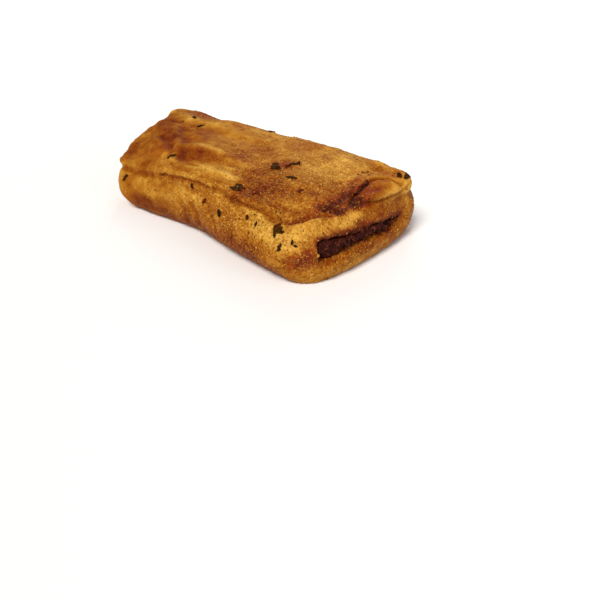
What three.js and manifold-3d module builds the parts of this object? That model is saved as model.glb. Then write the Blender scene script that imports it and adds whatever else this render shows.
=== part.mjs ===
// A savoury pastry: a sheet of dough folded flat round a dark filling, crumbed and fried.
// Millimetres. X runs along the roll to its open end, Y to the back, Z up.
// The origin is under the middle of the roll, on the surface that it lies on.

import * as THREE from 'three';
import { ImprovedNoise } from 'three/addons/math/ImprovedNoise.js';
import { mergeVertices } from 'three/addons/utils/BufferGeometryUtils.js';
import Module from 'manifold-3d';

const wasm = await Module();
wasm.setup();

// Brings the middle of the uneven outline over the origin
const SHIFT = { x: -0.6, y: -0.115 };

// X of both ends, near enough for what changes slowly along the roll
const ROUGH_ENDS = [-60, 62];

// The folded roll: the layers that lie under the flap
const ROLL = {
  front: -37.9,
  back: 37.5,
  top: 23,
  backDrop: 1, // how much lower the top is at the back
  backDropFrom: 8,
  bellyCut: 1.6, // what the flat underside takes off the round belly
  sideRound: 13, // how far in from a side its rounding starts
  waist: 4, // how far the front side draws in along its middle
  waistAt: -12,
  waistReach: 33,
  narrowing: 11.5, // how much further back the roll reaches at the open end than at the other
  narrowFrom: 50, // x at which that narrowing starts
  backWave: 0.8, // the back side's slow waves, and the length that sets their spacing
  backWaveLength: 13,
  openBandBack: 3.2, // the band above the slot lies this far back from the lip below it
  openBandFrom: 11, // height at which the end starts to lean back to that band
  lipCurl: 2.6, // the lips curl in this far towards the slot
  lipDepth: 3.6, // half the height over which they curl
  slotSide: 6, // the curl fades over this far beside the slot
  lifted: 9.5, // the narrow end's underside lies this far back from its end
  liftedBelow: 9, // height under which it does
};

// The outer sheet that comes up the back and over the top
const FLAP = {
  top: 27.4,
  front: -31.8,
  waist: 1.3, // how far its front edge draws in where the roll does
  proud: 0.7, // how far it stands out past the roll at the back
  frontBottom: 11, // inside the roll, where nothing shows
  inside: 6, // below the seam its narrow end lies this far inside the roll
  insideDepth: 4, // over this height it draws in to there
  seamReach: 1.5, // above the seam it is full again by this height
  frontDrop: 3.4, // how much lower its front edge lies than its middle
  frontDropTo: -12,
  openEndDrop: 2.2,
  openEndDropFrom: 42,
  backDrop: 1.4,
  backDropFrom: 12,
  joinFrom: -8, // from here to the y below, its lower face goes down to the roll's underside
  joinTo: 20,
  edgeWave: 0.6, // the front edge's slow waves, and the length that sets their spacing
  edgeWaveLength: 9,
};

// Beyond a slanting fold the narrow end slopes down to its corner
const SLOPE = { x: -53, y: 9, turn: -40, reach: 32, drop: 6 };

// The smooth inner fold that shows under the flap at the open end's back half
const INNER_FOLD = {
  front: 1, back: 33, inside: 46, end: 61.4, bottom: 17.5, top: 25.2,
  swellOut: 1.2, swellUp: 0.6, swellReach: 11, backDrop: 1.4,
};

// How far along X each layer ends, as y and x from the front side to the back
const LIP_END = [[-38, 52], [-31, 59.5], [-20, 64], [0, 66], [20, 65.4], [38, 62]];
const FLAP_END = [
  [-36, 46], [-31, 50.8], [-22, 56.6], [-12, 58], [0, 55.6], [13, 52.6], [25, 53.8], [33, 58.8], [38, 61.5],
];
const NARROW_END = [
  [-38, -45], [-31, -51], [-18, -56.5], [0, -62.5], [10, -65.4], [18, -62.5], [25, -54.5], [32, -44],
];

// The sheets of filling: sides, heights of the middle, thicknesses, and how far in from each
// end they stop. Towards the narrow end a sheet loses the share thinning of its thickness and
// follows the share sloped of the slope.
const LOWER_FILLING = {
  front: -27, back: 20.5, middleFront: 13.6, middleBack: 11.2, thickFront: 8, thickBack: 2.6,
  openInset: 1.8, narrowInset: 2.4, thinning: 0.45, sloped: 0.3,
};
const UPPER_FILLING = {
  front: -18.5, back: 20, middleFront: 22.8, middleBack: 23.2, thickFront: 1.6, thickBack: 1.8,
  openInset: 0, narrowInset: 2.6, thinning: 0.4, sloped: 1,
};
const GAP = 0.3; // between the filling and the dough
const MOUTH = 16; // how far a cut runs on past the dough
const MOUTH_OVERLAP = 1.5;
const CUTTER = 200; // wider than the pastry

// Slow unevenness: its height, the lengths that it changes over and where in the noise it lies
const UNEVEN = {
  rollTop: { height: 0.5, lengths: [17, 15], layer: 4.2 },
  rollSides: { height: 0.9, lengths: [21, 13], layer: 9.7 },
  flapTop: { height: 0.8, lengths: [19, 13], layer: 1.3 },
  filling: { height: 0.5, lengths: [16, 12], layer: 13.8 },
};

// Soft wrinkles on the flap: middle, turn in degrees, half length, width and rise
const WRINKLES = [
  { x: -14, y: -11, turn: 30, reach: 16, width: 3.4, rise: 1.2 },
  { x: -3, y: -19, turn: 16, reach: 15, width: 3.2, rise: -1.3 },
  { x: 6, y: -26, turn: 17, reach: 18, width: 3.2, rise: 0.9 },
  { x: -33, y: -8, turn: -40, reach: 19, width: 4, rise: -1.1 },
  { x: -47, y: 9, turn: -38, reach: 11, width: 6, rise: 0.3 },
  { x: -22, y: 4, turn: 8, reach: 24, width: 4.2, rise: -0.8 },
  { x: -14, y: 14, turn: 6, reach: 26, width: 5.5, rise: 0.9 },
  { x: -46, y: 20, turn: 12, reach: 13, width: 8, rise: -2 },
  { x: 26, y: -17, turn: 24, reach: 13, width: 7, rise: -0.9 },
  { x: 42, y: -10, turn: 35, reach: 12, width: 8, rise: 0.9 },
  { x: 34, y: 18, turn: -6, reach: 20, width: 7, rise: 0.5 },
];

// Scraps of herb that show from a step away, by the side that they lie on: along is x,
// across is y on the top and z on the front and back
const HERB_SCRAPS = [
  { side: 'top', along: 18.7, across: -26.2, length: 5.2, turn: 60 },
  { side: 'top', along: 19.7, across: -6.5, length: 4.6, turn: 100 },
  { side: 'top', along: 23.8, across: 0, length: 3.6, turn: 20 },
  { side: 'top', along: 32.4, across: -11.2, length: 4.4, turn: 150 },
  { side: 'top', along: -23, across: -24, length: 4.4, turn: 10 },
  { side: 'top', along: -35.2, across: 3.8, length: 3.2, turn: 30 },
  { side: 'top', along: -44.6, across: 8.6, length: 3.2, turn: 85 },
  { side: 'top', along: -8.5, across: 22, length: 3.8, turn: 140 },
  { side: 'front', along: 47, across: 19.6, length: 5, turn: 120 },
  { side: 'front', along: 49.6, across: 14.5, length: 3.8, turn: 30 },
  { side: 'front', along: 17.6, across: 17.6, length: 3.2, turn: 70 },
  { side: 'front', along: -41.5, across: 15, length: 3.4, turn: 20 },
  { side: 'back', along: 37.5, across: 14, length: 4.6, turn: 35 },
  { side: 'back', along: 9.5, across: 19, length: 3.6, turn: 110 },
  { side: 'back', along: -20.5, across: 12, length: 4.2, turn: 160 },
  { side: 'back', along: -38.5, across: 18, length: 3.2, turn: 60 },
];
const SCRAP_THICK = 1.1;
const SCRAP_SUNK = 0.65;
const SCRAP_CORNERS = 7;
const SCRAP_SLIMNESS = 0.56; // its width as a share of its length
const SCRAP_UNEVEN = 0.35;

const DOUGH_FINISH = new THREE.MeshStandardMaterial({ color: '#c98a35', roughness: 0.75, metalness: 0 });
const FILLING_FINISH = new THREE.MeshStandardMaterial({ color: '#2a1418', roughness: 0.6, metalness: 0 });

const UP = new THREE.Vector3(0, 0, 1);
const noise = new ImprovedNoise();
const { clamp, lerp, smoothstep, degToRad } = THREE.MathUtils;

// Height of a rounded ridge at a distance from its middle
function ridge(distance, width) {
  return Math.exp(-((distance / width) ** 2));
}

// A smooth line through pairs of place and value
function lineThrough(pairs) {
  const curve = new THREE.SplineCurve(pairs.map(([at, value]) => new THREE.Vector2(at, value)));
  const points = curve.getPoints(96);
  return (at) => {
    const next = points.findIndex((point, i) => i > 0 && point.x >= at);
    const last = next > 0 ? next : points.length - 1;
    const [from, to] = [points[last - 1], points[last]];
    return lerp(from.y, to.y, clamp((at - from.x) / (to.x - from.x), 0, 1));
  };
}

const lipEnd = lineThrough(LIP_END);
const flapEnd = lineThrough(FLAP_END);
const narrowEnd = lineThrough(NARROW_END);

// Distances along and across a line through a spot that is turned from the X axis
function alongAndAcross(x, y, spot) {
  const angle = degToRad(spot.turn);
  const [dx, dy] = [x - spot.x, y - spot.y];
  return [dx * Math.cos(angle) + dy * Math.sin(angle), dy * Math.cos(angle) - dx * Math.sin(angle)];
}

function uneven(a, b, { height, lengths, layer }) {
  return height * noise.noise(a / lengths[0], b / lengths[1], layer);
}

function frontSide(x) {
  return ROLL.front + ROLL.waist * ridge(x - ROLL.waistAt, ROLL.waistReach);
}

function backSide(x) {
  const narrowing = ROLL.narrowing * smoothstep(-x, -ROLL.narrowFrom, ROUGH_ENDS[1]);
  return ROLL.back - narrowing + ROLL.backWave * Math.sin(x / ROLL.backWaveLength);
}

function narrowEndDrop(x, y) {
  const [, past] = alongAndAcross(x, y, SLOPE);
  return SLOPE.drop * smoothstep(-past, 0, SLOPE.reach);
}

function wrinkleRise(x, y) {
  return WRINKLES.reduce((sum, wrinkle) => {
    const [along, across] = alongAndAcross(x, y, wrinkle);
    return sum + wrinkle.rise * ridge(along, wrinkle.reach) * ridge(across, wrinkle.width);
  }, 0);
}

function solidFrom(geometry) {
  geometry.deleteAttribute('normal');
  geometry.deleteAttribute('uv');
  const merged = mergeVertices(geometry, 1e-4);
  return new wasm.Manifold(new wasm.Mesh({
    numProp: 3,
    vertProperties: new Float32Array(merged.attributes.position.array),
    triVerts: new Uint32Array(merged.index.array),
  }));
}

function geometryFrom(solid) {
  const mesh = solid.getMesh();
  const geometry = new THREE.BufferGeometry();
  geometry.setAttribute('position', new THREE.BufferAttribute(mesh.vertProperties, 3));
  geometry.setIndex(new THREE.BufferAttribute(mesh.triVerts, 1));
  geometry.computeVertexNormals();
  return geometry;
}

// Spacing that gathers towards both ends, for a value from -1 to 1
function gathered(value, share) {
  return lerp(value, Math.sin((value * Math.PI) / 2), share);
}

// Draws a point of a cube, from -1 to 1 each way, in to a cube with rounded edges
function roundOff(point, radius) {
  const core = point.clone();
  ['x', 'y', 'z'].forEach((axis) => {
    core[axis] = clamp(point[axis], radius[axis] - 1, 1 - radius[axis]);
  });
  const out = point.clone().sub(core).divide(radius);
  const reach = Math.max(Math.abs(out.x), Math.abs(out.y), Math.abs(out.z));
  out.multiplyScalar(reach / out.length());
  point.copy(core).add(out.multiply(radius));
}

// A rounded block: place gets how far along, across and up a point is, from 0 to 1
function softBlock({ segments, gather, rounding, place }) {
  const geometry = new THREE.BoxGeometry(2, 2, 2, ...segments);
  const position = geometry.attributes.position;
  const point = new THREE.Vector3();
  for (let i = 0; i < position.count; i += 1) {
    point.fromBufferAttribute(position, i);
    point.set(gathered(point.x, gather[0]), gathered(point.y, gather[1]), gathered(point.z, gather[2]));
    roundOff(point, rounding(point));
    point.addScalar(1).multiplyScalar(0.5);
    const [x, y, z] = place(point.x, point.y, point.z);
    position.setXYZ(i, x + SHIFT.x, y + SHIFT.y, z);
  }
  return solidFrom(geometry);
}

function rollTop(x, y) {
  const backDrop = ROLL.backDrop * smoothstep(y, ROLL.backDropFrom, ROLL.back);
  return ROLL.top - backDrop - narrowEndDrop(x, y) + uneven(x, y, UNEVEN.rollTop);
}

// Both ends of the lower filling lie between lips that curl in towards it
function lipSetBack(x, y, z) {
  const { front, back } = LOWER_FILLING;
  const pastFront = smoothstep(y, front - ROLL.slotSide, front + ROLL.slotSide);
  const pastBack = smoothstep(y, back - ROLL.slotSide, back + ROLL.slotSide);
  const beside = ridge(z - fillingMiddle(LOWER_FILLING, x, y), ROLL.lipDepth);
  return ROLL.lipCurl * pastFront * (1 - pastBack) * beside;
}

// How far the narrow end's underside is set back at a height
function liftedSetBack(z) {
  return ROLL.lifted * (1 - smoothstep(z, -ROLL.bellyCut, ROLL.liftedBelow));
}

function openBandSetBack(z) {
  return ROLL.openBandBack * smoothstep(z, ROLL.openBandFrom, ROLL.top);
}

// Round sides, flattened where the roll lies
function makeRoll() {
  const sideShare = (2 * ROLL.sideRound) / (ROLL.back - ROLL.front);
  return softBlock({
    segments: [38, 25, 12],
    gather: [0.4, 0.25, 0.1],
    rounding: () => new THREE.Vector3(0.09, sideShare, 0.98),
    place: (along, across, up) => {
      const roughX = lerp(...ROUGH_ENDS, along);
      const y = lerp(frontSide(roughX), backSide(roughX), across);
      const z = lerp(-ROLL.bellyCut, rollTop(roughX, y), up);
      const open = lipEnd(y) - lipSetBack(lipEnd(y), y, z) - openBandSetBack(z);
      const narrow = narrowEnd(y) + lipSetBack(narrowEnd(y), y, z) + liftedSetBack(z);
      const x = lerp(narrow, open, along);
      return [x, y + uneven(x, z, UNEVEN.rollSides), z];
    },
  });
}

function flapTop(x, y) {
  const frontDrop = FLAP.frontDrop * (1 - smoothstep(y, FLAP.front, FLAP.frontDropTo));
  const openEndDrop = FLAP.openEndDrop * smoothstep(x, FLAP.openEndDropFrom, ROUGH_ENDS[1]);
  const backDrop = FLAP.backDrop * smoothstep(y, FLAP.backDropFrom, ROLL.back);
  const smooth = FLAP.top - frontDrop - openEndDrop - backDrop - narrowEndDrop(x, y);
  return smooth + wrinkleRise(x, y) + uneven(x, y, UNEVEN.flapTop);
}

// The flap's narrow end is hidden in the roll up to the seam between the two
function flapHiddenBack(y, z) {
  const seam = rollTop(narrowEnd(y), y);
  return FLAP.inside * (1 - smoothstep(z, seam - FLAP.insideDepth, seam + FLAP.seamReach)) + liftedSetBack(z);
}

// The flap is round at the back, where it joins the roll, rolls down at the open end and has a
// thin edge elsewhere
function makeFlap() {
  return softBlock({
    segments: [39, 24, 7],
    gather: [0.4, 0.25, 0.5],
    rounding: (point) => {
      const toBack = smoothstep(point.y, -0.5, 0.4);
      const toOpenEnd = smoothstep(point.x, 0.2, 0.9);
      const atEnd = lerp(0.07, 0.13, toOpenEnd);
      const inHeight = lerp(lerp(0.3, 0.5, toOpenEnd), 0.98, toBack);
      return new THREE.Vector3(atEnd, lerp(0.09, 0.36, toBack), inHeight);
    },
    place: (along, across, up) => {
      const roughX = lerp(...ROUGH_ENDS, along);
      const waist = FLAP.waist * ridge(roughX - ROLL.waistAt, ROLL.waistReach);
      const front = FLAP.front + waist + FLAP.edgeWave * Math.sin(roughX / FLAP.edgeWaveLength);
      const y = lerp(front, backSide(roughX) + FLAP.proud, across);
      const bottom = lerp(FLAP.frontBottom, -ROLL.bellyCut, smoothstep(y, FLAP.joinFrom, FLAP.joinTo));
      const z = lerp(bottom, flapTop(roughX, y), up);
      return [lerp(narrowEnd(y) + flapHiddenBack(y, z), flapEnd(y), along), y, z];
    },
  });
}

function makeInnerFold() {
  const { front, back, inside, end, bottom, top, swellOut, swellUp, swellReach, backDrop } = INNER_FOLD;
  const middle = (front + back) / 2;
  return softBlock({
    segments: [8, 16, 6],
    gather: [0.3, 0.3, 0.3],
    rounding: () => new THREE.Vector3(0.7, 0.35, 0.9),
    place: (along, across, up) => {
      const y = lerp(front, back, across);
      const swell = ridge(y - middle, swellReach);
      const x = lerp(inside, end + swellOut * swell, along);
      const z = lerp(bottom, top + swellUp * swell, up) - backDrop * smoothstep(y, middle, back);
      return [x, y, z];
    },
  });
}

function fillingMiddle(sheet, x, y) {
  const share = (y - sheet.front) / (sheet.back - sheet.front);
  return lerp(sheet.middleFront, sheet.middleBack, share) - sheet.sloped * narrowEndDrop(x, y);
}

// Height of a point in a sheet of filling that has room on both faces
function fillingHeight(sheet, x, y, up, room) {
  const share = clamp((y - sheet.front) / (sheet.back - sheet.front), 0, 1);
  const left = 1 - sheet.thinning * smoothstep(-x, 0, -ROUGH_ENDS[0]);
  const thick = left * lerp(sheet.thickFront, sheet.thickBack, share);
  const middle = fillingMiddle(sheet, x, y) + uneven(x, y, UNEVEN.filling);
  return middle + (thick / 2 + room) * (2 * up - 1);
}

function fillingBlock(sheet, segments, room, place) {
  return softBlock({
    segments,
    gather: [0.4, 0.2, 0],
    rounding: () => new THREE.Vector3(0.01, 0.16, 0.9),
    place: (along, across, up) => {
      const y = lerp(sheet.front - room, sheet.back + room, across);
      const [x, sectionX] = place(along, y);
      return [x, y, fillingHeight(sheet, sectionX, y, up, room)];
    },
  });
}

// A sheet of filling from end to end, or the cut that it lies in
function makeFilling(sheet, endAt, room = 0) {
  return fillingBlock(sheet, [10, 12, 3], room, (along, y) => {
    const x = lerp(narrowEnd(y) + sheet.narrowInset - room, endAt(y) - sheet.openInset + room, along);
    return [x, x];
  });
}

// The ends of that cut, straight on and out of the dough
function makeOpenMouth(sheet, endAt) {
  return fillingBlock(sheet, [1, 12, 3], GAP, (along, y) => {
    const end = endAt(y) - sheet.openInset;
    return [lerp(end - MOUTH_OVERLAP, end + MOUTH, along), end];
  });
}

function makeNarrowMouth(sheet) {
  return fillingBlock(sheet, [1, 12, 3], GAP, (along, y) => {
    const end = narrowEnd(y) + sheet.narrowInset;
    return [lerp(end - MOUTH, end + MOUTH_OVERLAP, along), end];
  });
}

// A broken scrap of leaf with an uneven outline
function makeScrap(length, number) {
  const corners = Array.from({ length: SCRAP_CORNERS }, (_, i) => {
    const angle = (i / SCRAP_CORNERS) * 2 * Math.PI;
    const reach = 0.5 * length * (1 + SCRAP_UNEVEN * Math.sin(2.1 * i + 1.7 * number));
    return new THREE.Vector2(reach * Math.cos(angle), SCRAP_SLIMNESS * reach * Math.sin(angle));
  });
  const outline = new THREE.Shape(corners);
  const scrap = new THREE.ExtrudeGeometry(outline, { depth: SCRAP_THICK, bevelEnabled: false });
  return scrap.translate(0, 0, -SCRAP_SUNK);
}

// Where a scrap is seen from, well outside the roll, and the way that it is pressed on
function pressing(scrap) {
  const far = 2 * ROLL.back;
  if (scrap.side === 'top') {
    return [new THREE.Vector3(scrap.along, scrap.across, far), new THREE.Vector3(0, 0, -1)];
  }
  const outward = scrap.side === 'back' ? 1 : -1;
  return [new THREE.Vector3(scrap.along, outward * far, scrap.across), new THREE.Vector3(0, -outward, 0)];
}

// Each scrap lies along the surface that it is pressed on to
function withScraps(dough) {
  const target = new THREE.Mesh(geometryFrom(dough));
  return HERB_SCRAPS.reduce((joined, scrap, number) => {
    const [hit] = new THREE.Raycaster(...pressing(scrap)).intersectObject(target);
    const lean = new THREE.Quaternion().setFromUnitVectors(UP, hit.face.normal);
    const turn = new THREE.Quaternion().setFromAxisAngle(UP, degToRad(scrap.turn));
    const matrix = new THREE.Matrix4().compose(hit.point, lean.multiply(turn), new THREE.Vector3(1, 1, 1));
    return joined.add(solidFrom(makeScrap(scrap.length, number).applyMatrix4(matrix)));
  }, dough);
}

function makeDough() {
  const underside = solidFrom(new THREE.BoxGeometry(CUTTER, CUTTER, CUTTER).translate(0, 0, -CUTTER / 2));
  const folded = makeRoll().add(makeFlap()).add(makeInnerFold());
  const hollowed = [
    makeFilling(LOWER_FILLING, lipEnd, GAP),
    makeOpenMouth(LOWER_FILLING, lipEnd),
    makeNarrowMouth(LOWER_FILLING),
    makeFilling(UPPER_FILLING, flapEnd, GAP),
    makeNarrowMouth(UPPER_FILLING),
    underside,
  ].reduce((rest, cut) => rest.subtract(cut), folded);
  return withScraps(hollowed);
}

const pastry = new THREE.Group();

function addPiece(name, solid, material) {
  const mesh = new THREE.Mesh(geometryFrom(solid), material);
  mesh.name = name;
  pastry.add(mesh);
}

addPiece('dough', makeDough(), DOUGH_FINISH);
addPiece('filling_lower', makeFilling(LOWER_FILLING, lipEnd), FILLING_FINISH);
addPiece('filling_upper', makeFilling(UPPER_FILLING, flapEnd), FILLING_FINISH.clone());

export default pastry;
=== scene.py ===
"""The looks of a savoury pastry: crumbed dough folded round a dark filling and fried.

Lengths in the tables are millimetres and turns are degrees. X runs along the pastry to its open
end, Y to the back and Z up, as in the solids.
"""

import math

import bmesh
import bpy
import numpy as np
from bpy.props import FloatProperty, FloatVectorProperty, PointerProperty
from mathutils import Matrix, Vector, noise
from mathutils.bvhtree import BVHTree


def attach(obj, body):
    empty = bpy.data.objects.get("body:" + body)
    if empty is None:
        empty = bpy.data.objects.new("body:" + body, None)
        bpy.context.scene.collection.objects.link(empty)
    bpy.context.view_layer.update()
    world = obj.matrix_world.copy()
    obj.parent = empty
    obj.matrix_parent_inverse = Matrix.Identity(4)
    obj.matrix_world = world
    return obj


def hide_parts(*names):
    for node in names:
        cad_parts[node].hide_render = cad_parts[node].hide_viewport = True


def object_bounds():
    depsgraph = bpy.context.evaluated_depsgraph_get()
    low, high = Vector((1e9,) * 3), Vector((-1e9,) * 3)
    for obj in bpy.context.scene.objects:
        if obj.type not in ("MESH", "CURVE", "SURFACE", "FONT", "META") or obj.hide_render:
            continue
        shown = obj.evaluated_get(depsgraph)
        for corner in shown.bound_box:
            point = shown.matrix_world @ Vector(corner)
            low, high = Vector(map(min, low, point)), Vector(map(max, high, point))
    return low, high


bl_info = {
    "name": "Savoury Pastry",
    "version": (1, 0, 0),
    "blender": (4, 5, 0),
    "location": "3D View > Sidebar > Pastry",
    "description": "Builds the crumbed dough, filling, herbs and crumbs of a folded pastry",
    "category": "Add Mesh",
}

MM = 0.001
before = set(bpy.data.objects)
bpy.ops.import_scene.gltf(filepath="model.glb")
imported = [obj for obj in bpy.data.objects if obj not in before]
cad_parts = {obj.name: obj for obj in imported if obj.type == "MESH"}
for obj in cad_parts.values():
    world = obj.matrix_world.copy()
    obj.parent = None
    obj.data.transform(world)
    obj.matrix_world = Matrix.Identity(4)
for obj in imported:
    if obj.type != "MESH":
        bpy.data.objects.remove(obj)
CAD_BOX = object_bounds()

# The camera stands where the photograph was taken from
CAMERA_PLACE = (183.3, -182.0, 129.3)
CAMERA_AZIMUTH = 40.41
CAMERA_PITCH = 34.56
CAMERA_ROLL = 1.11
CAMERA_LENS = 39.0
CAMERA_SENSOR = 36.0

# The main light lights the whole floor evenly: where it comes from, how many degrees wide it looks,
# its strength and its colour
KEY_LIGHT = ((60, -430, 610), 26, 3.0, "#fffaf4")
# Each lamp: place, width, watts and colour
LAMPS = {
    "fill_lamp": ((560, 60, 330), 420, 0.6, "#f4f7ff"),
    "back_lamp": ((-300, 480, 420), 420, 1.1, "#fffaf2"),
}
WORLD_COLOUR = "#ffffff"
WORLD_STRENGTH = 0.24  # of the soft light from all round
WORLD_LOOK = 0.85  # how pale the camera sees the studio behind
FLOOR_WIDTH = 6000
PAPER_GRAIN = 2.5  # size of the paper's unevenness, far coarser than real fibres, so that it shows

# Soft oval spots where the crust is browner, and paler: middle, reach along, across and in height,
# turn and strength. Some browner ones also paint the shadow under the pastry and along the front's
# lower edge and the shade by the flap's rim; some paler ones paint highlight on the front's right shoulder
BROWNED_AND_SHADED = [
    ((-40, -9, 26), (15, 6, 8), -22, 0.85),
    ((-49, 0, 26), (9, 7, 8), -10, 0.6),
    ((-33, -1, 27), (11, 4, 7), -14, 0.45),
    ((-23, -18, 25), (11, 3.5, 6), -30, 0.6),
    ((-12, -16, 26.5), (11, 3.4, 6), 4, 0.75),
    ((1, -9, 27), (9, 4, 6), 25, 0.5),
    ((4, 3, 28), (9, 4, 6), -30, 0.3),
    ((16, 21, 28), (8, 4, 6), -5, 0.45),
    ((16, -14, 27), (7, 6, 6), 20, 0.45),
    ((23, -1, 28), (4, 5, 5), -60, 0.7),
    ((20, -27, 24), (9, 3, 5), -6, 0.75),
    ((34, -28, 24), (9, 3, 4), -5, 0.8),
    ((31, -17, 26), (10, 6, 6), -25, 0.45),
    ((47, -32.5, 20.5), (3.5, 2.5, 2.5), 0, 0.7),
    ((50, -24, 23.5), (5, 5, 3), 40, 0.7),
    ((46, -14, 25), (2.2, 1.8, 3), 0, 0.7),
    ((-55, 2, 24), (7, 10, 8), 0, 0.55),
    ((-54, -22, 18.5), (9, 8, 4), 0, 0.95),
    ((-44, -15, 24), (6, 5, 5), 0, 0.6),
    ((-34, -29, 19.5), (9, 4, 3.4), 4, 0.5),
    # Partly painted shadow along the front's lower edge, beside real browning
    ((-28, -36, 7), (16, 6, 4), 0, 0.7),
    ((32, -38, 8), (13, 6, 4), 0, 0.85),
    ((25, -21, 25.5), (8, 4, 5), 0, 0.8),
    ((34, -20, 25.5), (5, 4, 5), 0, 0.5),
    ((58.6, 9, 25), (3, 5, 2), 0, 0.6),
    ((-48, 15, 26), (6, 3, 6), -30, 0.3),
    # Partly painted shade on the flap's rim over the crevice, beside real browning
    ((54, -9, 24.8), (4, 13, 2.6), 4, 0.95),
    ((-42, -35, 11), (6, 4, 3), 0, 0.4),
    ((-7, -31.5, 20), (12, 2, 2.5), 5, 0.55),
    ((8, -33, 19), (4, 2, 3), 0, 0.35),
    ((-15, 27, 20), (22, 6, 6), 8, 0.5),
    ((24, 36, 17), (18, 5, 7), 6, 0.55),
    ((50, 34, 12), (8, 6, 6), 0, 0.35),
    # Partly painted shadow under the pastry and along the front's lower edge, beside real browning
    ((0, 0, -2), (75, 45, 7), 0, 0.85),
    ((5, -38, 5), (34, 8, 6), 4, 0.85),
    # Partly painted shade along the crevice over the inner fold, beside real browning
    ((52.6, 9, 25.8), (2.8, 8, 2.4), 3, 0.85),
    ((57, 17, 25.6), (5, 3, 2.4), 25, 0.7),
    ((56.5, 2, 24), (4, 6, 3), 0, 0.9),
    ((57.5, 0.5, 23), (3, 4, 2), 0, 0.7),
    ((57, -30.5, 12.5), (5, 4, 4.5), 0, 0.8),
    ((61, -24, 9.5), (4, 9, 2.5), 0, 0.6),
    ((64, -4, 8), (3, 12, 2.5), 0, 0.6),
    ((63, 13, 15.5), (3, 8, 3.5), 0, 0.6),
    ((-62, 0, 18), (5, 22, 8), 0, 0.35),
    ((-33, -21.4, 24.3), (6, 4, 4), 0, 0.7),
    ((23, -26.6, 24.5), (5.5, 3.5, 4), 0, 0.95),
    ((-31, -32, 17), (5, 3, 3), 0, 0.45),
    ((-20, -32, 16), (8, 2.5, 3), 0, 0.5),
    ((0, -35, 9), (12, 4, 5), 5, 0.4),
    ((36.5, -27.5, 24.4), (4.5, 3, 3), 0, 0.55),
    ((20, -4, 28), (4, 3.5, 5), 0, 0.6),
    ((15, 13.6, 27.5), (4, 3, 4), 0, 0.6),
    ((45, -16.3, 26.6), (3, 2.5, 3), 0, 0.5),
    ((36, -38, 12.5), (7, 4, 4), 0, 0.8),
    ((-3, -34, 13), (5, 4, 4), 0, 0.5),
    ((18, -34, 18.7), (5, 2.5, 2.5), 0, 0.5),
    ((-23, -4.6, 27.6), (4, 4, 4), 0, 0.45),
    ((-6, -11, 28), (4, 2, 4), 10, 0.4),
    ((56.5, 4.5, 25), (3.2, 5.5, 2.5), 0, 0.9),
    ((55, -32, 11.5), (5, 4, 3.5), 0, 0.7),
    ((59, -1, 22.4), (2.5, 5, 1.8), 0, 0.8),
    ((64, 5, 9), (3, 6, 3), 0, 0.4),
    # Partly painted shade in the crevice under the flap, beside real browning
    ((58.6, -8.5, 22.2), (1.6, 6, 1.1), 0, 0.9),
    ((53, -21.5, 23.6), (4, 4, 2), 0, 0.8),
    ((51.5, -28, 22.6), (4, 2.4, 2), 0, 0.6),
    ((23, -26, 24.4), (5, 3, 3), 0, 0.6),
    # Partly painted shadow along the front's lower edge, beside real browning
    ((-22, -35, 5), (16, 5, 4), 0, 0.5),
    ((14, 15, 27.5), (5, 4, 4), 0, 0.4),
    ((61.3, -5, 16.4), (2, 6, 2), 0, 0.5),
    ((60.8, 3, 20.6), (1.6, 5, 1.6), 0, 0.5),
    ((64.4, 12, 8), (2, 6, 3), 0, 0.5),
    ((64, -9, 8.5), (2, 4, 2.4), 0, 0.45),
]
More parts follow.
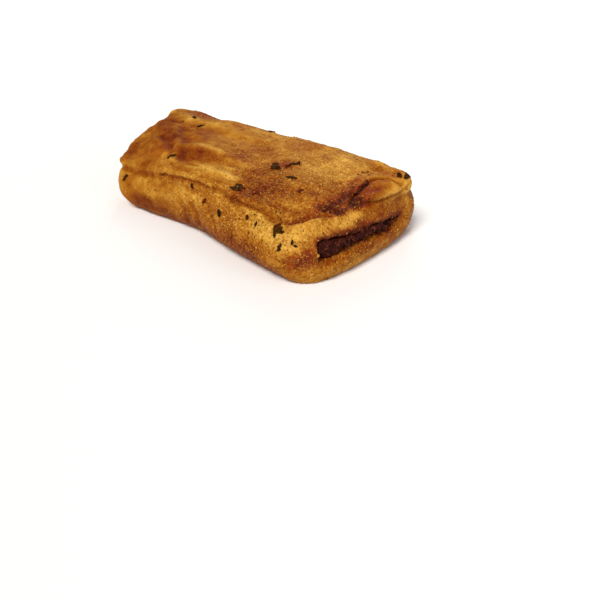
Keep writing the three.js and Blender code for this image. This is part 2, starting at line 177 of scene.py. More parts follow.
PALE_AND_HIGHLIGHTED = [
    ((-46, 7, 28), (9, 4, 5), -10, 0.75),
    ((-35, -5.5, 27), (4, 2.4, 4), 30, 0.5),
    ((-12, -11.5, 28.4), (12, 2, 4), 12, 0.8),
    ((-30, 11, 28), (17, 3.2, 4), 4, 0.4),
    ((-6, 6, 28), (11, 5, 5), 20, 0.5),
    ((9, -5, 27.5), (5, 4, 4), 0, 0.5),
    ((62, 20, 24), (3, 6, 3), 0, 0.7),
    ((0, -22, 26), (12, 4, 5), -6, 0.8),
    ((-13, -5, 28), (12, 3, 5), 30, 0.3),
    ((36, 7, 28), (14, 9, 6), 8, 0.7),
    ((18, 12, 28), (7, 6, 5), 8, 0.5),
    ((45, 18, 26.5), (6, 5, 4), 0, 0.7),
    ((-24, -32, 16), (14, 3, 4), 0, 0.5),
    ((-8, -33, 16), (8, 3, 4), 0, 0.65),
    ((20, -34, 20), (10, 3, 3), 0, 0.45),
    # Partly painted highlight on the front's right shoulder, beside paler crust
    ((42, -36, 17), (11, 6, 5), 0, 0.95),
    ((43, -23.6, 25.5), (3.4, 3, 3), 0, 0.55),
    # Partly painted highlight on the shoulder and on the band over the lower opening, beside paler crust
    ((55, -30, 19), (6, 6, 4.5), 0, 0.95),
    ((60.4, -16, 20), (4, 13, 2), 4, 0.95),
    ((61, 17, 23.5), (2.6, 6, 2.2), 0, 0.6),
    ((61.5, 25, 18), (3, 4, 4), 0, 0.8),
    ((-26, -24, 24.2), (8, 3, 4), -10, 0.5),
    ((-2, -33, 17), (7, 3, 3), 0, 0.6),
    ((34, -31.5, 22.4), (8, 2, 2), 0, 0.5),
    ((62, -18, 2.5), (5, 20, 2.5), 0, 0.7),
    ((-44, 1, 27), (4, 4, 4), 0, 0.5),
    ((-50, -12, 24), (4, 4, 4), 0, 0.35),
    ((0, -16, 26.5), (5, 3, 4), 0, 0.65),
    ((12, -13, 27), (4, 2.5, 4), 0, 0.45),
    ((29, 2, 27.6), (6, 5.5, 5), 20, 0.6),
    ((24, 20, 27), (12, 4, 5), 0, 0.5),
    ((-21, 5.5, 26.8), (6, 3.5, 4), 0, 0.4),
    ((47, -20.4, 25.2), (3, 2.5, 3), 0, 0.45),
    ((63, 15, 14.8), (3, 6, 2.5), 0, 0.55),
    ((58.2, -28.8, 16), (4, 4, 2.6), 0, 0.6),
    ((64, -5, 5), (3, 12, 2.4), 0, 0.5),
    ((42.6, 13.3, 26.8), (5, 4, 4), 0, 0.4),
    ((-36, -35, 12), (14, 4, 5), 0, 0.35),
    ((8, 20, 26), (30, 7, 6), -5, 0.4),
    ((13.5, -22.5, 26), (4, 2.5, 3), 0, 0.65),
    ((42, -38, 9.5), (3.5, 3, 3), 0, 0.6),
    ((58.6, -30.4, 6.5), (4, 4, 2.5), 0, 0.6),
    ((56.5, -23.5, 21.5), (4, 4, 3), 0, 0.5),
    ((60, -10.5, 20.6), (2, 7, 1.4), 0, 0.9),
    ((53, -32, 18.5), (7, 5, 3.5), 0, 0.5),
    ((-10.5, -34, 8.5), (4, 3, 3.5), 0, 0.7),
    ((31, -5, 27.7), (4, 3, 4), 0, 0.5),
    ((60.5, -20, 18), (4, 7, 3), 0, 0.5),
    ((15, -26.5, 24.5), (3.5, 2, 2.5), 0, 0.6),
    ((7, -23.5, 26), (5, 2.5, 3), 0, 0.5),
    ((-6, -34, 12), (2.4, 3, 5), 0, 0.5),
    ((45.5, -22.5, 25.4), (3, 3, 3), 0, 0.5),
    ((61.4, 7, 22.3), (2.4, 4, 1.6), 0, 0.6),
    ((59.6, -9, 21.2), (1.6, 4.5, 1), 0, 0.8),
]
# Spots of the juice's stain; those beside the crevice under the flap paint its shade as well as the stain
STAINED_AND_SHADED = [
    ((58, -29.5, 12.2), (2.6, 2.6, 2.8), 0, 0.8),
    ((55, -32.5, 10.5), (5, 4, 4), 0, 0.8),
    ((57.5, -6, 22.8), (2, 3.2, 1), 0, 0.95),
    ((58.8, -1.6, 22.4), (1.7, 3.5, 1.3), 0, 0.9),
    ((23, -26.6, 24.5), (4, 3, 3), 0, 0.5),
    ((51.5, -23.5, 22.8), (3, 4, 2), 0, 0.5),
    ((55.2, -16, 23.2), (1.8, 3, 1.3), 0, 0.8),
    ((56.2, -1.8, 22.5), (2.6, 4.6, 1.7), 0, 1.0),
    ((53.4, -12, 24.2), (1.8, 9, 1.6), 3, 0.55),
    ((57, 3, 24.4), (3.5, 6.5, 3), 0, 0.62),
    ((53.5, 12, 25.8), (1.6, 5, 1.4), 0, 0.45),
    ((21, -2.5, 28), (4, 4, 4), 0, 0.55),
    ((58, -8.5, 22.5), (1.4, 4.5, 0.9), 0, 0.75),
    ((54, -19.5, 23.5), (3, 3.5, 1.6), 0, 0.45),
    ((55.2, -9, 23.5), (2, 4, 1.4), 0, 0.95),
]
# Where the crust is redder
RUDDY = [
    ((58, 0, 18), (10, 34, 14), 0, 0.9),
    ((24, -10, 24), (22, 20, 12), 0, 0.3),
    ((-33, -21, 24.3), (6, 5, 4), 0, 0.7),
    ((23, -26.6, 24.5), (5, 4, 4), 0, 0.6),
    ((52, -12, 24.5), (5, 12, 3), 0, 0.8),
    ((55, -34, 11), (5, 4, 4), 0, 1.0),
    ((-14, -16, 26.5), (12, 4, 5), 4, 0.5),
    ((24, -38, 6), (22, 8, 6), 4, 0.5),
    ((0, 30, 10), (60, 14, 12), 0, 0.3),
    ((60, 0, 6), (8, 36, 6), 0, 0.6),
]
# And where it is yellower
YELLOWED = [
    ((-52, -10, 18), (18, 30, 20), 0, 1.0),
    ((44, -34, 20), (14, 6, 7), 0, 0.8),
    ((60, -14, 21), (4, 13, 3), 0, 0.8),
    ((0, -20, 26), (14, 5, 5), 0, 0.5),
    ((12, 4, 27), (18, 8, 5), 0, 0.4),
    ((62, 8, 21), (4, 12, 4), 0, 0.6),
    ((-20, -34, 12), (16, 6, 8), 0, 0.8),
    ((22, -10, 27), (6, 5, 4), 0, 0.6),
    ((-23, -15, 26.5), (4, 4, 4), 0, 0.7),
]
# Where crumbs lie thick, where the sheet is smooth and where specks of herb lie
CRUMBED = [
    ((34, -10, 26), (34, 30, 12), 0, 0.95),
    ((30, -34, 16), (36, 8, 12), 0, 0.9),
    ((60, -10, 10), (10, 30, 14), 0, 0.85),
    ((10, 34, 14), (45, 12, 14), 0, 0.6),
]
SMOOTH = [
    ((58, 13, 24), (8, 13, 4), 10, 1.0),
    ((-50, 0, 26), (24, 30, 14), 0, 0.6),
]
SPECKED = [
    ((38, -35, 16), (32, 7, 9), 0, 1.0),
    ((35, -8, 26), (32, 26, 10), 0, 0.45),
    ((-30, -10, 24), (34, 34, 16), 0, 0.22),
    ((62, -5, 12), (8, 36, 14), 0, 0.35),
    ((10, 34, 14), (50, 14, 14), 0, 0.4),
]
# How far each filling stains the dough beside it, and the furthest that is looked at
STAIN_REACHES = {"filling_lower": 2.7, "filling_upper": 1.8}
STAIN_LIMIT = 8
STAIN_HEIGHTS = {"filling_lower": (10, 14), "filling_upper": (22.2, 23.4)}  # the lip is under these heights
LIP_STAIN = 0.35  # share of the stain that shows on a lip
CARAMEL = {"filling_lower": 0.8, "filling_upper": 0.0}  # how much it browns the dough round an opening
CARAMEL_SPREAD = 1.15  # how many times as wide as the stain that is
# The dark line under the flap, painted shade in the crevice there with the juice's stain
CREVICE = [
    (55.2, -17.5, 23.2), (56.4, -14, 22.8), (57, -10.8, 22.7), (57.3, -7.5, 22.7), (57, -4.6, 22.9),
    (55.4, -2, 22.9), (53.9, 0.5, 23.1), (53.1, 4, 24.1), (52.8, 6.2, 25), (52.3, 10, 25.6)]
CREVICE_WIDTH = 1.6
CREVICE_SHADE_STRENGTH = 1.3
STAINED_BEYOND = 38  # nearer the middle, no juice shows
SOILED_REACH = 1.8  # how near the filling its bits cling to the dough
STAINED_BARE = 0.85  # share of the crumbs that stained dough lacks, and dough with painted shade in the crevice
RUDDY_BASE = 0.3  # the crust's redness where it is neither ruddy nor yellowed
RUDDY_MORE = 0.7  # what a whole ruddy spot adds to it
YELLOWED_LESS = 0.3  # and what a whole yellowed one takes away
RECESSES = {"filling_lower": 0.6, "filling_upper": 3.2}  # how far each lies back from its opening
RECESSED_ALONG = (38, 50)  # and how far along that begins and is whole
LUMPS = {"filling_lower": 1.2, "filling_upper": 0.5}  # height of the mince's lumps at the ends
LUMPS_ALONG = (40, 48)
LUMPS_FACING = (0.2, 0.7)  # how far a face has to look along the pastry to be lumpy
LUMPS_WITHIN = 0.2  # height of the lumps further in
SHREDDED = {"filling_lower": 1.0, "filling_upper": 0.5}  # share of the shreds that show there
# Pale granules that boiled out of the filling: place, diameter and tone
GRANULES = [
    ((59.6, -27.4, 12.2), 1.2, 0.8),
    ((59.3, -28.2, 13.4), 0.8, 0.6),
    ((57.6, -29.8, 13.6), 0.9, 0.55),
    ((56.8, -31.0, 12.4), 0.8, 0.6),
]
GRANULE_LUMPS = (0.4, 0.8)  # their lumps' height, as a share, and size
HIDDEN_ALONG = (-42, 47)  # between these the inner walls can't be seen
HIDDEN_REACH = 1.2  # how near the filling such a wall lies
HIDDEN_THINNED = 0.9  # share of such a wall's faces that goes

# Folds in the sheet: depth of the valley (a ridge is below zero), half its width and its course
FOLDS = {
    "groove at the narrow end": (0.4, 1.4, [
        (-62, -21, 15.5), (-57, -27, 15.5), (-46, -31.6, 16), (-32, -31.4, 16.5), (-22, -31, 18.7)]),
    "groove before the top sheet": (1.1, 1.1, [
        (-22, -31, 18.7), (-12, -31, 21.3), (-4, -30.8, 22.7), (8, -30.4, 23), (20, -30.6, 23.1)]),
    "groove before the flap": (1.4, 1.3, [
        (20, -30.6, 23.1), (32, -31, 23.3), (43, -31.2, 21.7), (48, -30, 21.8), (52, -26.9, 22.6),
        (53.7, -21.3, 23)]),
    "under the flap": (1.4, 0.8, [
        (54.6, -21, 22.9), (56.5, -14.3, 22.6), (56, -9.5, 22.8), (55.6, -5.5, 23.1), (54.6, -2.5, 23)]),
    "over the inner fold": (1.7, 0.9, [
        (53.5, -1, 22.6), (53.2, 2.2, 24),
        (53.1, 4.7, 25.2), (52.4, 9, 25.6), (53.2, 14, 25.8), (55.4, 17.6, 25.7),
        (58.5, 20, 25), (60.8, 22.5, 23)]),
    "under the inner fold": (1.0, 0.9, [
        (59, 2, 21.9), (61, 6, 21.7), (61.8, 14, 21.1), (61.9, 20, 21.1), (61.5, 25, 21.5)]),
    "tip of the inner fold": (-0.9, 1.8, [
        (55.6, -5.5, 22.1), (57, -1, 22.8), (58.5, 3, 23.6), (60.5, 9, 24.2)]),
    "first ridge": (-0.9, 2.2, [(-27, -16, 26.4), (-20, -14.7, 27.8), (-13.7, -13, 28.3), (-6, -10.3, 28)]),
    "first valley": (0.8, 2.4, [(-20, -21.5, 25.3), (-11, -18.5, 26.1), (-4, -16.4, 26.5), (4, -15, 26.6)]),
    "corner ridge": (-0.6, 1.8, [(-47, -1, 26.8), (-36, -8.3, 26.4), (-24, -19, 26.2), (-20, -24.5, 24.4)]),
    "corner valley": (0.8, 2.6, [(-42, -12, 25), (-31, -17, 25.5), (-25, -24, 24.4)]),
    "second ridge": (-0.8, 2.0, [(-11, -26.4, 24.3), (-4, -24.5, 25.2), (4, -23.7, 26), (14, -22.5, 25.7)]),
    "back ridge": (-0.6, 3.0, [(-45, 7.6, 27.7), (-32, 9.7, 27.9), (-16, 10.1, 27.6), (-3, 10.2, 27.4)]),
    "crease in the front": (0.5, 1.2, [(-6.8, -33.4, 13), (-4.8, -33.8, 10.4), (-5, -32.7, 5.3)]),
    "next crease in the front": (0.5, 1.2, [(0, -33.5, 14), (3.7, -34.3, 11.7), (4, -33.9, 7.2)]),
    "last crease in the front": (0.4, 1.2, [(8.7, -33.7, 16.6), (13.5, -35.1, 15.4), (16.7, -36.3, 11.9)]),
    "back groove": (0.8, 2.0, [(-48, 26, 20), (-25, 33, 19), (5, 36, 20), (34, 37, 18), (52, 35, 15)]),
    "back crease": (0.5, 1.5, [(-12, 34, 17), (-8, 35, 11), (-9, 34, 6)]),
    "next back crease": (0.5, 1.5, [(22, 38, 16), (25, 38, 10), (24, 37, 5)]),
    "droop of the narrow end": (1.7, 4.2, [(-62.5, -11, 23.2), (-62.8, -3, 25), (-62, 5, 26.2)]),
    "lift of the back corner": (-1.4, 3.6, [(46, 29, 25), (54, 29, 24.4), (60, 27, 23)]),
}
SHOULDER = 0.35  # how high a fold's shoulders stand, as a share of its depth
SHOULDER_WIDTH = 3  # and how wide they are, in widths of the fold
SOFT_ROUNDS = 3  # rounds of smoothing that take the steps out of the even faces
RIM_ROUNDS = 12  # rounds of smoothing that round the openings' rims
RIMS_ALONG = (38, 46)  # how far along the rims begin and are whole
RIM_GAP = 0.8  # how far from the filling a rim's middle lies
RIM_BREADTH = 1.6
RIM_SWELL = 0.55  # how far the upper rims swell
UPPER_RIMS = (11, 14)  # the heights where they begin and are whole
RIM_WAVE = 0.6  # how far all rims swell and shrink by turns
CREST_ROUNDS = 25  # rounds of smoothing that find what stands out
CREST_HEIGHT = 0.5  # what stands out this far is a whole crest
CREST_ROOM = 0.9  # room above the crests for crumbs
CREST_PRESSED = 0.6  # share of what stands higher that is pressed down
CREST_LIGHT_AND_HOLLOW_SHADE = 0.45  # painted highlight on the crests and painted shade in the hollows: what a whole crest takes from the browning, and a whole hollow adds
CARAMEL_BROWNNESS = 1.1  # what whole caramel adds to it
NEAR_LIMIT = 5  # the furthest from the filling that is measured
UNDERSIDE = (0.5, 2.5)  # the heights where the side begins and is whole
INNER_WALL = (0.6, 1.4)  # how far from the filling the outside begins and is whole
# The folds and the crust's spots are shifted in swirls, so that their edges wander
SWIRL_SIZE = 7
SWIRL_SHIFT = 1.3
SWIRL_LAYERS = (0, 9.1, 18.2)  # where in the noise the shift along X, Y and Z lies
# Layers of noise: each one's size, its share and where in the noise it lies
SWELLS = ((6, 1.0, 0), (2.8, 0.6, 5))
GRIT = ((1.5, 1.0, 3), (0.9, 0.6, 7))
CLUMPS = ((3.2, 1.0, 17), (1.4, 0.5, 19))
CLUMP_EDGE = (-0.5, 0.6)  # the noise at which a clump of crumbs begins and is whole
RIM_WAVES = ((4.5, 1.0, 23),)
MINCE = ((1.7, 1.0, 0), (0.8, 0.5, 0))
CREASE_SIZE = 2.6
CREASE_STRETCH = (7, 1, 1)  # creases run along the pastry
CREASE_LAYER = 11
# Where dough and filling sag at an opening: middle, reach, how far it moves and above what height,
# which is far below the floor where all of it moves
SAGS = [
    ((54.5, -18, 24.2), (5, 5, 3), (1.9, 0, -2.3), 22.9),
    ((60.5, -25, 9), (4, 5, 2.4), (-0.9, -0.6, -1.3), -10),
    ((62, -18, 9.6), (4, 6, 2), (-0.3, 0, -1.4), -10),
    ((63, 9, 10), (4, 7, 2), (0, 0, -1.0), -10),
    ((53, -6, 24.2), (5, 9, 3), (2.6, 0, -1.9), 22.9),
    ((62, -8, 16.6), (5, 10, 2.5), (0, 0, -1.6), 14),
    ((61, 15, 13.4), (6, 8, 3), (0, 0, -1.5), 11.5),
]

# The shape of each kind of grain, one unit long: how often its sphere is divided, its width and
# depth, how far its ends bend down, how ragged it is and how deep it sinks in
GRAINS = {
    "crumb": (1, 0.85, 0.75, 0.0, 1.1, 0.08),
    "speck": (1, 0.55, 0.28, 0.2, 1.3, 0.0),
    "shred": (2, 0.15, 0.12, 0.8, 1.1, 0.05),
    "bit": (2, 0.35, 0.3, 0.5, 1.2, 0.05),
}
GRAIN_NOISE = ((7, 3, 1), 2.9)  # where in the noise a grain lies and how much of it it spans
TILTS = {"crumb": 0.9, "speck": 0.5, "shred": 0.3, "bit": 0.5}  # how far the copies tilt, in radians
SEEDS = {
    "shreds_of_filling_lower": 40,
    "shreds_of_filling_upper": 50,
    "bits_of_filling": 71,
    "clinging_crumbs": 3,
    "herb_specks": 11,
}
COPY_STRETCH = (0.7, 1.3)  # how much a copy is stretched each way, at least and at most
COPY_SMALLEST = 0.5  # the smallest copy, as a share of the middle size
COPY_SPREAD = 1.2  # and how much larger the largest is

# Scraps of herb and pepper: a spot above or beside the surface, length, width, turn and tone,
# which runs from red pepper at 0 to green leaf at 1
SCRAPS = [
    ((18.7, -26.2, 26), 5.4, 4.6, 60, 1.0),
    ((19.7, -6.5, 29), 5.0, 3.0, 100, 0.95),
    ((20.6, -7.6, 29), 3.6, 1.4, 20, 0.8),
    ((23.8, 0, 29), 4.4, 1.8, 20, 0.8),
    ((24.4, 2.2, 29), 3.4, 1.4, 60, 0.4),
    ((32.4, -11.2, 29), 4.4, 1.8, 150, 1.0),
    ((-23, -24, 26), 4.2, 2.0, 10, 0.8),
    ((-35.2, 3.8, 28), 3.2, 1.5, 30, 0.6),
    ((-44.6, 8.6, 28), 3.2, 1.5, 85, 0.9),
    ((-8.5, 22, 28), 3.8, 1.8, 140, 0.95),
    ((46.6, -34, 21), 5.0, 2.5, 120, 1.0),
    ((45.6, -35.2, 19), 3.2, 1.4, 80, 0.9),
    ((49.7, -37, 15.6), 3.2, 1.4, 30, 0.85),
    ((17.6, -36, 17.6), 3.2, 1.6, 70, 0.5),
    ((-41.5, -36, 15), 3.4, 1.6, 20, 0.85),
    ((37.5, 40, 14), 4.6, 2.0, 35, 1.0),
    ((9.5, 36, 19), 3.6, 1.7, 110, 0.9),
    ((-20.5, 32, 12), 4.2, 1.9, 160, 0.95),
    ((-38.5, 30, 18), 3.2, 1.5, 60, 0.6),
    ((60, 26.6, 25), 5.2, 2.4, 40, 0.85),
    ((57.5, 24.5, 26), 3.4, 1.7, 100, 0.7),
    ((45.1, -33, 21.5), 3.0, 2.0, 30, 0.15),
    ((27.3, -25.4, 26), 2.8, 1.6, 0, 0.25),
    ((31, -35, 20.4), 2.2, 1.3, 80, 0.4),
    ((22.5, -2.5, 29), 3.4, 2.0, 60, 0.1),
    ((41, -16, 27), 2.6, 1.8, 10, 0.2),
    ((6.5, -34, 19), 2.4, 1.3, 20, 0.3),
    ((-2, -32, 21), 2.0, 1.1, 60, 0.5),
    ((53.0, -34, 17.6), 1.8, 0.8, 60, 0.8),
    ((54.2, -33.4, 16.4), 1.5, 0.6, 120, 0.7),
    ((36.5, -35, 19.5), 2.2, 1.1, 50, 0.8),
]
SCRAP_GRID = (22, 12)
TIP_TAPER = (2.4, 0.6)  # powers that make a scrap's tips blunt
TEARS = (1.0, 0.7)  # how deep coarse and fine tears go, as shares of the width
TEARS_ALONG = 2.6  # how close the coarse ones are
TEARS_FINER = 2.7  # and how many times closer the fine ones
EDGES_APART = 3  # keeps the tears of the two edges unlike
NARROWEST = 0.15  # share of the width that no tear goes below
BOW = (0.5, 1.1, 5)  # how far a scrap bows, how often, and where in the noise it lies
CRUMPLES = 2  # how close its crumples are
CURL = 0.3  # how far its edges lift, beside the crumples
LEAF_LIFT = 0.14  # height over the crust of what isn't crumpled
LEAF_CRUMPLE = 0.34  # height of the crumples

CAD_DOUBLES = 0.001  # points of the solids this near are one
LEAF_DOUBLES = 0.01

# Patterns of the crust, whose weights say how much each adds to the browning: size, detail and weight
BLOTCHES = (8, 3, 0.6)
MOTTLE = (2.6, 4, 0.36)
FRECKLES = (0.9, 3, 1.05)
NOISE_MIDDLE = 0.5
FRIED_MIDDLE = 0.42  # browning of crust outside all spots, from pale at 0 to burnt at 1
FRIED_SHARE = 0.36  # what a whole browned spot adds to it, and a whole spot of painted shade
FLECKED = (0.7, 0.3)  # how strong the freckles are: what the coat adds, and without it
STAIN_RAGGEDNESS = 0.9  # how far the mottles move a stain's edge
DRIFT_SIZE = 0.8  # the coat's grains are bent out of line in swirls of this size
DRIFT_SHIFT = 0.9
COAT_GRAIN = 0.85  # coarser than the finest real grains, which are too fine to show
FRECKLE_RELIEF = 0.8  # height of the freckles beside the grains
LUMP_SIZE = 1.6
LUMP_TONE = 1.2  # what the lumps add to a shred's own tone
FIBRE_SIZE = 0.5  # coarser than the finest real fibres, which are too fine to show
CRUMB_BROWNED = -0.25  # how much darker crumbs are where the crust is browned and where its painted shade lies, and lighter under its painted highlight
RIB_SIZE = 0.9  # of the leaf, coarser than its finest real ribs, which are too fine to show


def linear(code):
    """A colour as linear light, from its sRGB hex code"""
    channels = [int(code[i:i + 2], 16) / 255 for i in (1, 3, 5)]
    return [c / 12.92 if c <= 0.04045 else ((c + 0.055) / 1.055) ** 2.4 for c in channels] + [1.0]


def colour(name, description, code):
    return FloatVectorProperty(
        name=name, description=description, subtype="COLOR", size=4, min=0, max=1, default=linear(code))


def length(name, description, millimetres):
    return FloatProperty(name=name, description=description, default=millimetres * MM, min=0, unit="LENGTH")


def per_area(name, description, count):
    return FloatProperty(name=name, description=description, default=count, min=0)


class PastrySizes(bpy.types.PropertyGroup):
    """Sizes and counts of what is made"""

    face: length("Face Size", "Spacing of the dough's even faces", 0.62)
    filling_face: length("Filling Face Size", "Spacing of the filling's even faces", 0.6)
    swelling: length("Swelling", "Height of the dough's broad unevenness", 0.3)
    creasing: length("Creasing", "Height of the fine creases along the sheet", 0.35)
    grit: length("Grit", "Height of the crumb coat's own relief", 0.3)
    crumb: length("Crumb Size", "Middle diameter of a crumb", 0.58)
    crumbs: per_area("Crumbs", "Crumbs on a square millimetre where the coat is thickest", 4.3)
    speck: length("Speck Size", "Middle diameter of a speck of herb", 0.85)
    specks: per_area("Specks", "Specks on a square millimetre where they lie thickest", 0.085)
    shred: length("Shred Length", "Middle length of a shred of filling", 2.4)
    shreds: per_area("Shreds", "Shreds on a square millimetre of the filling's ends", 2.0)
    bit: length("Bit Length", "Middle length of a bit of filling on the dough", 1.3)
    bits: per_area("Bits", "Bits of filling on a square millimetre beside the openings", 1.3)
    leaf: length("Leaf Thickness", "Thickness of a scrap of herb", 0.14)


class PastryColours(bpy.types.PropertyGroup):
    """Colours of the crust, the filling and what clings to them"""

    # Pale and yellow also paint the highlight on the crests and the front's right shoulder
    pale: colour("Pale", "Crests that fried least", "#dcad4c")
    yellow: colour("Yellow", "The lightest of the crust", "#bb8931")
    golden: colour("Golden", "Most of the crust", "#9d6215")
    # Amber, browned and burnt also paint the shade in the hollows, by the flap's rim and under the pastry
    amber: colour("Amber", "The crust's darker blotches", "#854507")
    browned: colour("Browned", "Patches that fried most", "#662503")
    burnt: colour("Burnt", "The darkest of the crust", "#431302")
    ruddy: colour("Ruddy", "What the crust is tinted with where it is redder", "#ffe0c0")
    # Juice and stained also paint the shade in the crevice under the flap
    juice: colour("Juice", "Dough that the filling's juice has coloured", "#8c3716")
    stained: colour("Stained", "Dough that the juice has soaked and darkened", "#380d06")
    crumb_light: colour("Light Crumb", "The palest crumbs", "#d4a550")
    crumb_dark: colour("Dark Crumb", "The brownest crumbs", "#662b06")
    speck: colour("Speck", "Specks of herb and pepper", "#2a170a")
    pepper: colour("Pepper", "Reddish specks", "#5a1c08")
    herb: colour("Herb", "Fried leaf", "#2e1602")
    herb_pale: colour("Pale Herb", "The leaf's dry, pale parts", "#573608")
    filling: colour("Filling", "Most of the filling", "#340f09")
    filling_light: colour("Light Filling", "The filling's lighter shreds", "#7c3a26")
    floor: colour("Floor", "The floor", "#f6f6f6")


def add_node(tree, kind, inputs=None, **settings):
    """One node with its settings, values and links"""
    node = tree.nodes.new(kind)
    for name, value in settings.items():
        setattr(node, name, value)
    for name, value in (inputs or {}).items():
        if isinstance(value, bpy.types.NodeSocket):
            tree.links.new(value, node.inputs[name])
        else:
            node.inputs[name].default_value = value
    return node


def new_material(name, **surface):
    """A material and its tree and surface shader, with values that are the same all over"""
    material = bpy.data.materials.new(name)
    material.use_nodes = True
    shader = material.node_tree.nodes["Principled BSDF"]
    for socket, value in surface.items():
        shader.inputs[socket].default_value = value
    return material, material.node_tree, shader


def piece_from(bm, name):
    """A new smooth piece of that shape"""
    mesh = bpy.data.meshes.new(name)
    bm.to_mesh(mesh)
    bm.free()
    mesh.shade_smooth()
    piece = bpy.data.objects.new(name, mesh)
    bpy.context.scene.collection.objects.link(piece)
    return piece


def bake_modifiers(piece):
    """Gives the piece's own mesh the shape that its modifiers make"""
    depsgraph = bpy.context.evaluated_depsgraph_get()
    mesh = bpy.data.meshes.new_from_object(piece.evaluated_get(depsgraph))
    piece.modifiers.clear()
    piece.data = mesh
    mesh.name = piece.name


def even_copy(node, name, face):
    """A copy of a CAD node's shape in even faces"""
    bm = bmesh.new()
    bm.from_mesh(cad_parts[node].data)
    bmesh.ops.remove_doubles(bm, verts=bm.verts, dist=CAD_DOUBLES * MM)
    piece = piece_from(bm, name)
    remesh = piece.modifiers.new("Even Faces", "REMESH")
    remesh.mode = "VOXEL"
    remesh.voxel_size = face
    remesh.use_smooth_shade = True
    bake_modifiers(piece)
    return piece


def soften(piece, rounds):
    """Takes the steps out of a piece's even faces"""
    bm = bmesh.new()
    bm.from_mesh(piece.data)
    for _ in range(rounds):
        bmesh.ops.smooth_vert(
            bm, verts=bm.verts, factor=0.5, use_axis_x=True, use_axis_y=True, use_axis_z=True)
    bm.to_mesh(piece.data)
    bm.free()


def points_of(mesh):
    points = np.empty(len(mesh.vertices) * 3, np.float32)
    mesh.vertices.foreach_get("co", points)
    return points.reshape(-1, 3).astype(float)


def normals_of(mesh):
    normals = np.empty(len(mesh.vertices) * 3, np.float32)
    mesh.vertex_normals.foreach_get("vector", normals)
    return normals.reshape(-1, 3).astype(float)


def move_to(mesh, points):
    mesh.vertices.foreach_set("co", points.astype(np.float32).ravel())


def store(mesh, name, values):
    """Keeps one number for each vertex, which a material reads"""
    layer = mesh.attributes.get(name) or mesh.attributes.new(name, "FLOAT", "POINT")
    layer.data.foreach_set("value", np.asarray(values, np.float32))


def noise_at(points, size, stretch=(1, 1, 1), layer=0.0):
    """Smooth noise from about -1 to 1 that changes over a size in millimetres"""
    scaled = points / (size * MM * np.array(stretch)) + layer
    return np.array([noise.noise(place) for place in scaled.tolist()])


def noises_at(points, layers):
    """Several layers of smooth noise, added up"""
    return sum(share * noise_at(points, size, layer=layer) for size, share, layer in layers)


def smooth_step(values, low, high):
    """0 below the low value, 1 above the high one and a smooth rise between"""
    share = np.clip((values - low) / (high - low), 0, 1)
    return share * share * (3 - 2 * share)


def spots_at(points, spots):
    """How strongly soft oval spots cover each point, from 0 to 1"""
    bare = np.ones(len(points))
    for middle, reach, turn, strength in spots:
        offset = points / MM - middle
        angle = math.radians(turn)
        along = offset[:, 0] * math.cos(angle) + offset[:, 1] * math.sin(angle)
        across = offset[:, 1] * math.cos(angle) - offset[:, 0] * math.sin(angle)
        distance = (along / reach[0]) ** 2 + (across / reach[1]) ** 2 + (offset[:, 2] / reach[2]) ** 2
        bare *= 1 - strength * np.exp(-distance)
    return 1 - bare


def smoothed(mesh, points, rounds):
    """Where the points go when each moves to the middle of its neighbours, round after round"""
    edges = np.empty(len(mesh.edges) * 2, np.int32)
    mesh.edges.foreach_get("vertices", edges)
    ends, others = edges.reshape(-1, 2).T
    count = np.bincount(edges, minlength=len(points))
    for _ in range(rounds):
        total = [np.bincount(ends, row[others], len(row)) + np.bincount(others, row[ends], len(row))
                 for row in points.T]
        points = np.stack(total, axis=1) / count[:, None]
    return points


def sags_at(points):
    """How far the sheets sag into the openings"""
    moved = np.zeros_like(points)
    for middle, reach, move, lowest in SAGS:
        above = smooth_step(points[:, 2] / MM, lowest, lowest + 1)
        offset = (points / MM - middle) / reach
        moved += (above * np.exp(-(offset ** 2).sum(axis=1)))[:, None] * np.array(move) * MM
    return moved


def distance_to_course(points, course):
    """How far each point is from a line through the places of a course"""
    nearest = np.full(len(points), np.inf)
    for start, end in zip(np.array(course[:-1]), np.array(course[1:])):
        along = end - start
        share = np.clip((points - start) @ along / (along @ along), 0, 1)
        nearest = np.minimum(nearest, np.linalg.norm(points - start - share[:, None] * along, axis=1))
    return nearest


def folds_at(points):
    """Height that the folds add at each point, in millimetres"""
    height = np.zeros(len(points))
    for depth, width, course in FOLDS.values():
        distance = distance_to_course(points / MM, course)
        valley = np.exp(-(distance / width) ** 2)
        shoulders = np.exp(-(distance / (SHOULDER_WIDTH * width)) ** 2)
        height += depth * (SHOULDER * shoulders - (1 + SHOULDER) * valley)
    return height


def tree_of(piece):
    return BVHTree.FromObject(piece, bpy.context.evaluated_depsgraph_get())


def distances_to(points, tree, reach):
    """How far each point is from a surface, up to a reach"""
    found = [tree.find_nearest(place, reach)[3] for place in points.tolist()]
    return np.array([reach if distance is None else distance for distance in found])


def grain_shape(kind):
    """One grain, one unit long, which scattering copies"""
    subdivisions, width, depth, bend, raggedness, sunk = GRAINS[kind]
    place, span = GRAIN_NOISE
    bm = bmesh.new()
    bmesh.ops.create_icosphere(bm, subdivisions=subdivisions, radius=0.5)
    for vert in bm.verts:
        ragged = 1 + raggedness * noise.noise(vert.co * span + Vector(place))
        vert.co = Vector((vert.co.x, vert.co.y * width, vert.co.z * depth)) * ragged
        vert.co.z -= bend * vert.co.x ** 2 + sunk
    return piece_from(bm, kind)


